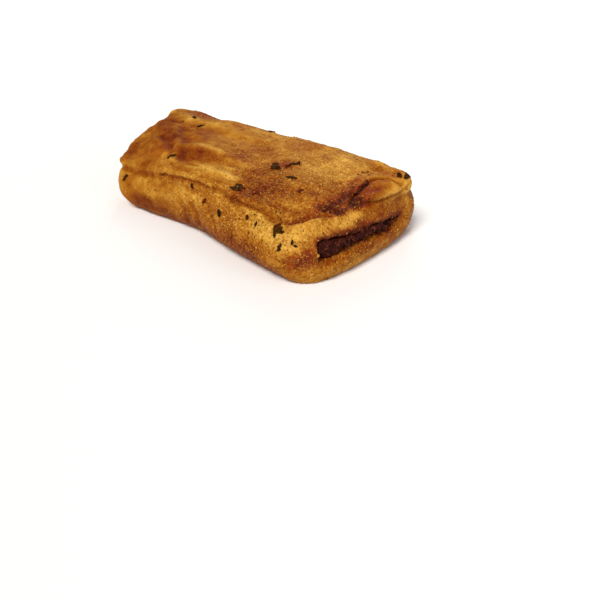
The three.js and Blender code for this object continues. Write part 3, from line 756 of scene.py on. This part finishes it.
def scatter(name, host, chance, kind, density, size):
    """A piece of many copies of a grain on the host, most where its chance is high"""
    grain = grain_shape(kind)
    tilt = TILTS[kind]
    seed = SEEDS[name]
    group = bpy.data.node_groups.new(name, "GeometryNodeTree")
    group.interface.new_socket("Geometry", in_out="OUTPUT", socket_type="NodeSocketGeometry")
    host_shape, one_grain = (
        add_node(group, "GeometryNodeObjectInfo", {"Object": piece}).outputs["Geometry"]
        for piece in (host, grain))
    likely = add_node(
        group, "GeometryNodeInputNamedAttribute", {"Name": chance}, data_type="FLOAT").outputs[0]
    dense = add_node(
        group, "ShaderNodeMath", {0: likely, 1: density / MM ** 2}, operation="MULTIPLY").outputs[0]
    points = add_node(group, "GeometryNodeDistributePointsOnFaces", {
        "Mesh": host_shape, "Density": dense, "Seed": seed})
    least, most = ((share, share, share) for share in COPY_STRETCH)
    turn, shape = (
        add_node(group, "FunctionNodeRandomValue", {0: low, 1: high, "Seed": seed + step},
                 data_type="FLOAT_VECTOR").outputs[0]
        for low, high, step in (
            ((-tilt, -tilt, -math.pi), (tilt, tilt, math.pi), 1),
            (least, most, 2)))
    share, tone = (
        add_node(group, "FunctionNodeRandomValue", {2: 0.0, 3: 1.0, "Seed": seed + step},
                 data_type="FLOAT").outputs[1]
        for step in (3, 4))
    turned = add_node(group, "FunctionNodeRotateRotation", {
        "Rotation": points.outputs["Rotation"], "Rotate By": turn}, rotation_space="LOCAL").outputs[0]
    # Small copies are commoner than large ones
    squared = add_node(group, "ShaderNodeMath", {0: share, 1: share}, operation="MULTIPLY").outputs[0]
    scale = add_node(group, "ShaderNodeMath", {
        0: squared, 1: COPY_SPREAD * size, 2: COPY_SMALLEST * size}, operation="MULTIPLY_ADD").outputs[0]
    scaled = add_node(
        group, "ShaderNodeVectorMath", {0: shape, "Scale": scale}, operation="SCALE").outputs[0]
    copies = add_node(group, "GeometryNodeInstanceOnPoints", {
        "Points": points.outputs["Points"], "Instance": one_grain, "Rotation": turned,
        "Scale": scaled}).outputs[0]
    toned = add_node(group, "GeometryNodeStoreNamedAttribute", {
        "Geometry": copies, "Name": "tone", "Value": tone}, domain="INSTANCE", data_type="FLOAT").outputs[0]
    real = add_node(group, "GeometryNodeRealizeInstances", {"Geometry": toned}).outputs[0]
    add_node(group, "NodeGroupOutput", {"Geometry": real})

    piece = piece_from(bmesh.new(), name)
    piece.modifiers.new("Scatter", "NODES").node_group = group
    bake_modifiers(piece)
    bpy.data.objects.remove(grain)
    return piece


def dress(piece, node, material):
    """Puts the piece in a CAD node's place with its material"""
    piece.data.materials.clear()
    piece.data.materials.append(material)
    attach(piece, "root")
    if node:
        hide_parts(node)


def crust_material(look):
    """Bread dough rolled in crumbs and fried in oil: a dry, grainy golden crust, browner and redder where it
    fried longest, with a faint shine of oil. Its browning also paints shade in the hollows, by the flap's rim
    and under the pastry, and highlight on the crests and the front's right shoulder"""
    material, tree, surface = new_material("fried_crumbed_dough", **{
        "Subsurface Weight": 0.05,
        "Subsurface Scale": 1.0 * MM,
        "Specular IOR Level": 0.06,
    })
    place = add_node(tree, "ShaderNodeTexCoord").outputs["Object"]
    blotches, mottle, freckles = (
        add_node(tree, "ShaderNodeTexNoise", {"Vector": place, "Scale": 1 / (size * MM), "Detail": detail})
        .outputs["Fac"] for size, detail, _ in (BLOTCHES, MOTTLE, FRECKLES))
    fried, stained, coat, ruddy = (
        add_node(tree, "ShaderNodeAttribute", attribute_name=name).outputs["Fac"]
        for name in ("fried", "stained", "coat", "ruddy"))

    # How far each place is fried, from pale to burnt, in patches, mottles and freckles; this also paints
    # shade in the hollows, by the flap's rim and under the pastry, and highlight on the crests and the
    # front's right shoulder
    sandy = add_node(
        tree, "ShaderNodeMath", {0: coat, 1: FLECKED[0], 2: FLECKED[1]}, operation="MULTIPLY_ADD").outputs[0]
    off_middle = add_node(
        tree, "ShaderNodeMath", {0: freckles, 1: NOISE_MIDDLE}, operation="SUBTRACT").outputs[0]
    flecks = add_node(tree, "ShaderNodeMath", {
        0: off_middle, 1: sandy, 2: NOISE_MIDDLE}, operation="MULTIPLY_ADD").outputs[0]
    weights = [weight for _, _, weight in (BLOTCHES, MOTTLE, FRECKLES)]
    start = FRIED_MIDDLE - NOISE_MIDDLE * sum(weights)
    level = add_node(
        tree, "ShaderNodeMath", {0: fried, 1: FRIED_SHARE, 2: start}, operation="MULTIPLY_ADD").outputs[0]
    for part, weight in zip((blotches, mottle, flecks), weights):
        level = add_node(
            tree, "ShaderNodeMath", {0: part, 1: weight, 2: level}, operation="MULTIPLY_ADD").outputs[0]
    ramp = add_node(tree, "ShaderNodeValToRGB", {"Fac": level})
    stops = ramp.color_ramp.elements
    stops[0].color = look.pale
    stops[1].color = look.burnt
    for stop, tint in ((0.2, look.yellow), (0.4, look.golden), (0.58, look.amber), (0.78, look.browned)):
        stops.new(stop).color = tint
    base = add_node(tree, "ShaderNodeMix", {
        0: ruddy, 6: ramp.outputs["Color"], 7: look.ruddy,
    }, data_type="RGBA", blend_type="MULTIPLY").outputs[2]

    # Juice reddens the dough, and darkens it where there is more; the same darkening paints the shade in the
    # crevice under the flap
    ragged = add_node(tree, "ShaderNodeMath", {
        0: mottle, 1: STAIN_RAGGEDNESS, 2: stained}, operation="MULTIPLY_ADD").outputs[0]
    for tint, low, high, most in ((look.juice, 0.65, 1.2, 0.8), (look.stained, 0.9, 1.6, 1.0)):
        amount = add_node(tree, "ShaderNodeMapRange", {
            "Value": ragged, "From Min": low, "From Max": high, "To Max": most,
        }, interpolation_type="SMOOTHSTEP").outputs[0]
        base = add_node(tree, "ShaderNodeMix", {0: amount, 6: base, 7: tint}, data_type="RGBA").outputs[2]

    # Grains of the coat, some lighter and some darker than the dough between them
    drift = add_node(
        tree, "ShaderNodeTexNoise", {"Vector": place, "Scale": 1 / (DRIFT_SIZE * MM), "Detail": 2})
    shift = DRIFT_SHIFT * MM
    drifted = add_node(tree, "ShaderNodeVectorMath", {
        0: drift.outputs["Color"], 1: (shift, shift, shift), 2: place}, operation="MULTIPLY_ADD").outputs[0]
    cells = add_node(tree, "ShaderNodeTexVoronoi", {"Vector": drifted, "Scale": 1 / (COAT_GRAIN * MM)})
    roundness = add_node(tree, "ShaderNodeMapRange", {
        "Value": cells.outputs["Distance"], "From Min": 0.55, "From Max": 0.15}).outputs[0]
    raised = add_node(tree, "ShaderNodeMath", {0: roundness, 1: coat}, operation="MULTIPLY").outputs[0]
    own = add_node(tree, "ShaderNodeSeparateColor", {"Color": cells.outputs["Color"]}).outputs["Red"]
    for tint, low, high, most in ((look.crumb_light, 0.5, 1.0, 0.7), (look.crumb_dark, 0.4, 0.0, 0.5)):
        toned = add_node(tree, "ShaderNodeMapRange", {
            "Value": own, "From Min": low, "From Max": high, "To Max": most}).outputs[0]
        amount = add_node(tree, "ShaderNodeMath", {0: toned, 1: raised}, operation="MULTIPLY").outputs[0]
        base = add_node(tree, "ShaderNodeMix", {0: amount, 6: base, 7: tint}, data_type="RGBA").outputs[2]
    tree.links.new(base, surface.inputs["Base Color"])

    rough = add_node(tree, "ShaderNodeMapRange", {"Value": mottle, "To Min": 0.4, "To Max": 0.75}).outputs[0]
    tree.links.new(rough, surface.inputs["Roughness"])
    relief = add_node(tree, "ShaderNodeMath", {
        0: freckles, 1: FRECKLE_RELIEF, 2: raised}, operation="MULTIPLY_ADD").outputs[0]
    bump = add_node(tree, "ShaderNodeBump", {"Height": relief, "Strength": 0.7, "Distance": 0.22 * MM})
    tree.links.new(bump.outputs["Normal"], surface.inputs["Normal"])
    return material


def thin_hidden_walls(piece, near_filling):
    """Takes most faces out of the inner walls that can't be seen"""
    along = points_of(piece.data)[:, 0] / MM
    hidden = (near_filling < HIDDEN_REACH * MM) & (along > HIDDEN_ALONG[0]) & (along < HIDDEN_ALONG[1])
    group = piece.vertex_groups.new(name="hidden")
    group.add(np.flatnonzero(hidden).tolist(), 1.0, "REPLACE")
    thin = piece.modifiers.new("Thin", "DECIMATE")
    thin.vertex_group = group.name
    thin.ratio = 1 - HIDDEN_THINNED * hidden.mean()
    bake_modifiers(piece)
    piece.vertex_groups.clear()


def juice_at(points, trees):
    """How strongly the fillings' juice stains each point, and how much it browns it"""
    stained = np.zeros(len(points))
    caramel = np.zeros(len(points))
    ends = np.abs(points[:, 0]) > STAINED_BEYOND * MM
    for node, reach in STAIN_REACHES.items():
        set_back = np.array((RECESSES[node] * MM, 0, 0)) * np.sign(points[ends, :1])
        gap = distances_to(points[ends] + set_back, trees[node], STAIN_LIMIT * MM) / (reach * MM)
        # Less of the juice shows on the lip under an opening
        share = LIP_STAIN + (1 - LIP_STAIN) * smooth_step(points[ends, 2] / MM, *STAIN_HEIGHTS[node])
        browning = share * CARAMEL[node] * np.exp(-(gap / CARAMEL_SPREAD) ** 2)
        stained[ends] = np.maximum(stained[ends], share * np.exp(-gap ** 2))
        caramel[ends] = np.maximum(caramel[ends], browning)
    return stained, caramel


class PASTRY_OT_dough(bpy.types.Operator):
    """Make the crumbed dough over its solid"""

    bl_idname = "pastry.dough"
    bl_label = "Dough"

    def execute(self, context):
        sizes = context.scene.pastry_sizes
        piece = even_copy("dough", "crumbed_dough", sizes.face)
        soften(piece, SOFT_ROUNDS)
        points = points_of(piece.data)
        trees = {node: tree_of(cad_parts[node]) for node in STAIN_REACHES}
        near_filling = np.minimum(*(distances_to(points, tree, NEAR_LIMIT * MM) for tree in trees.values()))
        rims = smooth_step(np.abs(points[:, 0]) / MM, *RIMS_ALONG)
        rims *= np.exp(-((near_filling / MM - RIM_GAP) / RIM_BREADTH) ** 2)
        rounded = smoothed(piece.data, points, RIM_ROUNDS)
        points += (rounded - points) * rims[:, None]
        points += sags_at(points)
        move_to(piece.data, points)
        normals = normals_of(piece.data)

        swirl = np.stack([noise_at(points, SWIRL_SIZE, layer=layer) for layer in SWIRL_LAYERS], axis=1) * MM
        warped = points + SWIRL_SHIFT * swirl
        open_air = smooth_step(points[:, 2] / MM, *UNDERSIDE) * smooth_step(near_filling / MM, *INNER_WALL)
        coat = spots_at(warped, CRUMBED) * (1 - spots_at(warped, SMOOTH))
        juice, caramel = juice_at(points, trees)
        # Painted shade along the crevice under the flap, put in with the juice's stain and darkened like it
        crevice = np.exp(-(distance_to_course(warped / MM, CREVICE) / CREVICE_WIDTH) ** 2)
        stained = np.maximum(np.maximum(spots_at(warped, STAINED_AND_SHADED), juice), CREVICE_SHADE_STRENGTH * crevice)
        soaked = np.clip(stained, 0, 1)
        soiled = soaked * open_air * np.exp(-(near_filling / (SOILED_REACH * MM)) ** 2)
        ruddy = RUDDY_BASE + RUDDY_MORE * spots_at(warped, RUDDY) - YELLOWED_LESS * spots_at(warped, YELLOWED)
        ruddy = np.maximum(ruddy, caramel)

        height = folds_at(warped) * MM * open_air
        height += sizes.swelling * noises_at(points, SWELLS)
        upper = smooth_step(points[:, 2] / MM, *UPPER_RIMS)
        height += (RIM_SWELL * upper + RIM_WAVE * noises_at(points, RIM_WAVES)) * MM * rims
        creases = noise_at(points, CREASE_SIZE, stretch=CREASE_STRETCH, layer=CREASE_LAYER)
        height += sizes.creasing * (1 - coat) * creases
        height += sizes.grit * coat * noises_at(points, GRIT)
        points += normals * height[:, None]
        # The crests stay under the solid's top, so that crumbs have room on them
        ceiling = CAD_BOX[1].z - CREST_ROOM * MM
        points[:, 2] -= CREST_PRESSED * np.maximum(points[:, 2] - ceiling, 0)
        points[:, 2] = np.clip(points[:, 2], 0, None)
        move_to(piece.data, points)

        standing = ((points - smoothed(piece.data, points, CREST_ROUNDS)) * normals).sum(axis=1)
        crests = np.clip(standing / (CREST_HEIGHT * MM), -1, 1)
        # Browning less paleness; the browned spots also paint shadow under the pastry and shade by the flap's
        # rim, and the pale ones paint highlight on the front's right shoulder
        fried = spots_at(warped, BROWNED_AND_SHADED) - spots_at(warped, PALE_AND_HIGHLIGHTED)
        # Crests are painted lighter and hollows darker: painted highlight and painted shade
        fried += CARAMEL_BROWNNESS * caramel - CREST_LIGHT_AND_HOLLOW_SHADE * crests
        clumps = smooth_step(noises_at(points, CLUMPS), *CLUMP_EDGE)
        for name, values in (
                ("fried", fried), ("stained", stained), ("coat", coat), ("ruddy", ruddy), ("soiled", soiled),
                ("crumbed", coat * open_air * clumps * (1 - STAINED_BARE * soaked)),
                ("specked", spots_at(points, SPECKED) * open_air)):
            store(piece.data, name, values)
        thin_hidden_walls(piece, near_filling)
        dress(piece, "dough", crust_material(context.scene.pastry_colours))
        return {"FINISHED"}


def filling_material(look):
    """Minced filling cooked down until dark: fibrous, barely moist and charred at the ends"""
    material, tree, surface = new_material("dark_minced_filling", **{"Specular IOR Level": 0.07})
    place = add_node(tree, "ShaderNodeTexCoord").outputs["Object"]
    lumps, fine = (
        add_node(tree, "ShaderNodeTexNoise", {"Vector": place, "Scale": 1 / (size * MM), "Detail": 4})
        .outputs["Fac"] for size in (LUMP_SIZE, FIBRE_SIZE))
    tone = add_node(tree, "ShaderNodeAttribute", attribute_name="tone").outputs["Fac"]
    mixed = add_node(
        tree, "ShaderNodeMath", {0: lumps, 1: LUMP_TONE, 2: tone}, operation="MULTIPLY_ADD").outputs[0]
    amount = add_node(
        tree, "ShaderNodeMapRange", {"Value": mixed, "From Min": 0.65, "From Max": 1.55}).outputs[0]
    base = add_node(tree, "ShaderNodeMix", {
        0: amount, 6: look.filling, 7: look.filling_light}, data_type="RGBA").outputs[2]
    tree.links.new(base, surface.inputs["Base Color"])
    rough = add_node(tree, "ShaderNodeMapRange", {"Value": fine, "To Min": 0.35, "To Max": 0.75}).outputs[0]
    tree.links.new(rough, surface.inputs["Roughness"])
    bump = add_node(tree, "ShaderNodeBump", {"Height": fine, "Strength": 0.9, "Distance": 0.5 * MM})
    tree.links.new(bump.outputs["Normal"], surface.inputs["Normal"])
    return material


class PASTRY_OT_filling(bpy.types.Operator):
    """Make both sheets of filling over their solids, and the shreds and bits at their ends"""

    bl_idname = "pastry.filling"
    bl_label = "Filling"

    def execute(self, context):
        sizes = context.scene.pastry_sizes
        material = filling_material(context.scene.pastry_colours)
        for node in STAIN_REACHES:
            piece = even_copy(node, "minced_" + node, sizes.filling_face)
            points = points_of(piece.data)
            normals = normals_of(piece.data)
            at_end = smooth_step(np.abs(points[:, 0]) / MM, *LUMPS_ALONG)
            at_end *= smooth_step(np.abs(normals[:, 0]), *LUMPS_FACING)
            height = (LUMPS_WITHIN + LUMPS[node] * at_end) * MM * noises_at(points, MINCE)
            points += normals * height[:, None] + sags_at(points)
            near_end = smooth_step(np.abs(points[:, 0]) / MM, *RECESSED_ALONG)
            points[:, 0] -= RECESSES[node] * MM * near_end * np.sign(points[:, 0])
            move_to(piece.data, points)
            store(piece.data, "at_end", at_end)
            dress(piece, node, material)
            shreds = scatter(
                "shreds_of_" + node, piece, "at_end", "shred", sizes.shreds * SHREDDED[node], sizes.shred)
            dress(shreds, None, material)
        dough = bpy.data.objects["crumbed_dough"]
        bits = scatter("bits_of_filling", dough, "soiled", "bit", sizes.bits, sizes.bit)
        dress(bits, None, material)
        return {"FINISHED"}


def crumb_material(look):
    """Dry toasted crumbs, from cream to brown, each of one tone"""
    material, tree, surface = new_material("toasted_crumbs", **{
        "Specular IOR Level": 0.15, "Roughness": 0.55})
    tone, fried = (
        add_node(tree, "ShaderNodeAttribute", attribute_name=name).outputs["Fac"]
        for name in ("tone", "fried"))
    # The crust's browning that the crumbs follow carries its painted shade and highlight too
    level = add_node(
        tree, "ShaderNodeMath", {0: fried, 1: CRUMB_BROWNED, 2: tone}, operation="MULTIPLY_ADD").outputs[0]
    ramp = add_node(tree, "ShaderNodeValToRGB", {"Fac": level})
    stops = ramp.color_ramp.elements
    stops[0].color = look.crumb_dark
    stops[1].color = look.crumb_light
    for stop, tint in ((0.12, look.amber), (0.45, look.golden), (0.8, look.yellow)):
        stops.new(stop).color = tint
    tree.links.new(ramp.outputs["Color"], surface.inputs["Base Color"])
    return material


class PASTRY_OT_crumbs(bpy.types.Operator):
    """Scatter the crumbs that cling to the dough and set the pale granules beside the filling"""

    bl_idname = "pastry.crumbs"
    bl_label = "Crumbs"

    def execute(self, context):
        sizes = context.scene.pastry_sizes
        material = crumb_material(context.scene.pastry_colours)
        dough = bpy.data.objects["crumbed_dough"]
        crumbs = scatter("clinging_crumbs", dough, "crumbed", "crumb", sizes.crumbs, sizes.crumb)
        dress(crumbs, None, material)

        bm = bmesh.new()
        shade = bm.verts.layers.float.new("tone")
        height, size = GRANULE_LUMPS
        for middle, width, tone in GRANULES:
            made = bmesh.ops.create_icosphere(bm, subdivisions=3, radius=width / 2 * MM)
            for vert in made["verts"]:
                vert.co *= 1 + height * noise.noise(vert.co / (size * MM) + Vector(middle))
                vert.co += Vector(middle) * MM
                vert[shade] = tone
        dress(piece_from(bm, "pale_granules"), None, material)
        return {"FINISHED"}


def herb_material(look):
    """Chopped leaf that fried with the crust: dry, thin and dark, with pale ribs"""
    material, tree, surface = new_material("fried_herb", **{"Specular IOR Level": 0.04})
    place = add_node(tree, "ShaderNodeTexCoord").outputs["Object"]
    ribs = add_node(tree, "ShaderNodeTexNoise", {
        "Vector": place, "Scale": 1 / (RIB_SIZE * MM), "Detail": 4}).outputs["Fac"]
    tone = add_node(tree, "ShaderNodeAttribute", attribute_name="tone").outputs["Fac"]
    amount = add_node(
        tree, "ShaderNodeMapRange", {"Value": ribs, "From Min": 0.42, "From Max": 0.72}).outputs[0]
    leaf = add_node(tree, "ShaderNodeMix", {
        0: amount, 6: look.herb, 7: look.herb_pale}, data_type="RGBA").outputs[2]
    ramp = add_node(tree, "ShaderNodeValToRGB", {"Fac": tone})
    stops = ramp.color_ramp.elements
    stops[0].color = look.pepper
    stops[1].color = look.speck
    stops.new(0.3).color = look.pepper
    stops.new(0.5).color = look.speck
    green = add_node(
        tree, "ShaderNodeMapRange", {"Value": tone, "From Min": 0.6, "From Max": 0.95}).outputs[0]
    base = add_node(tree, "ShaderNodeMix", {
        0: green, 6: ramp.outputs["Color"], 7: leaf}, data_type="RGBA").outputs[2]
    tree.links.new(base, surface.inputs["Base Color"])
    rough = add_node(tree, "ShaderNodeMapRange", {"Value": ribs, "To Min": 0.4, "To Max": 0.8}).outputs[0]
    tree.links.new(rough, surface.inputs["Roughness"])
    return material


def add_scrap(bm, tree, middle, length, width, turn, tone):
    """Lays one torn, curled scrap of leaf on the surface"""
    shade = bm.verts.layers.float["tone"]
    seat, normal, _, _ = tree.find_nearest(Vector(middle) * MM)
    along = Matrix.Rotation(math.radians(turn), 3, normal) @ normal.orthogonal().normalized()
    across = normal.cross(along)
    made = bmesh.ops.create_grid(bm, x_segments=SCRAP_GRID[0], y_segments=SCRAP_GRID[1], size=1)
    bow_share, bows, bow_layer = BOW
    for vert in made["verts"]:
        u, v = vert.co.x, vert.co.y
        edge = Vector((u * TEARS_ALONG, middle[0], math.copysign(EDGES_APART, v)))
        torn = 1 + TEARS[0] * noise.noise(edge) + TEARS[1] * noise.noise(edge * TEARS_FINER)
        half = width / 2 * (1 - abs(u) ** TIP_TAPER[0]) ** TIP_TAPER[1] * max(torn, NARROWEST)
        bow = bow_share * width * noise.noise(Vector((u * bows, middle[1], bow_layer)))
        spot = seat + (along * u * length / 2 + across * (v * half + bow)) * MM
        under, out, _, _ = tree.find_nearest(spot)
        crumple = noise.noise(Vector((u * CRUMPLES, v * CRUMPLES, middle[1]))) + CURL * (u * u + v * v)
        vert.co = under + out * (LEAF_LIFT + LEAF_CRUMPLE * crumple) * MM
        vert[shade] = tone


class PASTRY_OT_herbs(bpy.types.Operator):
    """Lay the scraps of herb on the dough and scatter specks of herb and pepper"""

    bl_idname = "pastry.herbs"
    bl_label = "Herbs"

    def execute(self, context):
        sizes = context.scene.pastry_sizes
        material = herb_material(context.scene.pastry_colours)
        dough = bpy.data.objects["crumbed_dough"]
        tree = tree_of(dough)
        bm = bmesh.new()
        bm.verts.layers.float.new("tone")
        for scrap in SCRAPS:
            add_scrap(bm, tree, *scrap)
        bmesh.ops.remove_doubles(bm, verts=bm.verts, dist=LEAF_DOUBLES * MM)
        scraps = piece_from(bm, "herb_scraps")
        thicken = scraps.modifiers.new("Leaf", "SOLIDIFY")
        thicken.thickness = sizes.leaf
        thicken.offset = 0
        bake_modifiers(scraps)
        dress(scraps, None, material)

        specks = scatter("herb_specks", dough, "specked", "speck", sizes.specks, sizes.speck)
        dress(specks, None, material)
        return {"FINISHED"}


def add_light(name, kind, place, strength, code):
    """A light that points at the pastry"""
    light = bpy.data.lights.new(name, kind)
    light.energy = strength
    light.color = linear(code)[:3]
    holder = bpy.data.objects.new(name, light)
    holder.location = Vector(place) * MM
    holder.rotation_euler = (-holder.location).to_track_quat("-Z", "Y").to_euler()
    bpy.context.scene.collection.objects.link(holder)
    return light


class PASTRY_OT_stage(bpy.types.Operator):
    """Set up the floor, the soft studio light and the camera"""

    bl_idname = "pastry.stage"
    bl_label = "Stage"

    def execute(self, context):
        scene = context.scene
        bm = bmesh.new()
        bmesh.ops.create_grid(bm, x_segments=1, y_segments=1, size=FLOOR_WIDTH / 2 * MM)
        floor = piece_from(bm, "floor")
        material, tree, surface = new_material("pale_paper", Roughness=0.9)
        place = add_node(tree, "ShaderNodeTexCoord").outputs["Object"]
        fibres = add_node(tree, "ShaderNodeTexNoise", {
            "Vector": place, "Scale": 1 / (PAPER_GRAIN * MM), "Detail": 3}).outputs["Fac"]
        surface.inputs["Base Color"].default_value = scene.pastry_colours.floor
        bump = add_node(tree, "ShaderNodeBump", {"Height": fibres, "Strength": 0.05, "Distance": 0.1 * MM})
        tree.links.new(bump.outputs["Normal"], surface.inputs["Normal"])
        floor.data.materials.append(material)

        place, width, strength, code = KEY_LIGHT
        add_light("key_light", "SUN", place, strength, code).angle = math.radians(width)
        for name, (place, width, watts, code) in LAMPS.items():
            lamp = add_light(name, "AREA", place, watts, code)
            lamp.shape = "DISK"
            lamp.size = width * MM

        world = bpy.data.worlds.new("studio")
        world.use_nodes = True
        sky = world.node_tree.nodes["Background"]
        sky.inputs["Color"].default_value = linear(WORLD_COLOUR)
        # The studio looks paler than the soft light that it gives
        seen = add_node(world.node_tree, "ShaderNodeLightPath").outputs["Is Camera Ray"]
        strength = add_node(world.node_tree, "ShaderNodeMapRange", {
            "Value": seen, "To Min": WORLD_STRENGTH, "To Max": WORLD_LOOK}).outputs[0]
        world.node_tree.links.new(strength, sky.inputs["Strength"])
        scene.world = world
        scene.view_settings.view_transform = "Standard"

        lens = bpy.data.cameras.new("camera")
        lens.lens = CAMERA_LENS
        lens.sensor_width = CAMERA_SENSOR
        camera = bpy.data.objects.new("camera", lens)
        camera.location = Vector(CAMERA_PLACE) * MM
        turn = Matrix.Rotation(math.radians(CAMERA_AZIMUTH), 3, "Z")
        lean = Matrix.Rotation(math.radians(90 - CAMERA_PITCH), 3, "X")
        roll = Matrix.Rotation(math.radians(CAMERA_ROLL), 3, "Z")
        camera.rotation_euler = (turn @ lean @ roll).to_euler()
        scene.collection.objects.link(camera)
        scene.camera = camera
        return {"FINISHED"}


OPERATORS = (PASTRY_OT_stage, PASTRY_OT_dough, PASTRY_OT_filling, PASTRY_OT_crumbs, PASTRY_OT_herbs)


class PASTRY_PT_panel(bpy.types.Panel):
    """Lists what can be made and what can be changed"""

    bl_idname = "PASTRY_PT_panel"
    bl_label = "Savoury Pastry"
    bl_space_type = "VIEW_3D"
    bl_region_type = "UI"
    bl_category = "Pastry"

    def draw(self, context):
        for operator in OPERATORS:
            self.layout.operator(operator.bl_idname)
        for group in (context.scene.pastry_sizes, context.scene.pastry_colours):
            for name in group.bl_rna.properties.keys():
                if name not in ("rna_type", "name"):
                    self.layout.prop(group, name)


CLASSES = (PastrySizes, PastryColours, *OPERATORS, PASTRY_PT_panel)


def register():
    for kind in CLASSES:
        bpy.utils.register_class(kind)
    bpy.types.Scene.pastry_sizes = PointerProperty(type=PastrySizes)
    bpy.types.Scene.pastry_colours = PointerProperty(type=PastryColours)


def unregister():
    del bpy.types.Scene.pastry_colours
    del bpy.types.Scene.pastry_sizes
    for kind in reversed(CLASSES):
        bpy.utils.unregister_class(kind)


def main():
    register()
    bpy.ops.pastry.stage()
    bpy.ops.pastry.dough()
    bpy.ops.pastry.filling()
    bpy.ops.pastry.crumbs()
    bpy.ops.pastry.herbs()


if __name__ == "__main__":
    main()
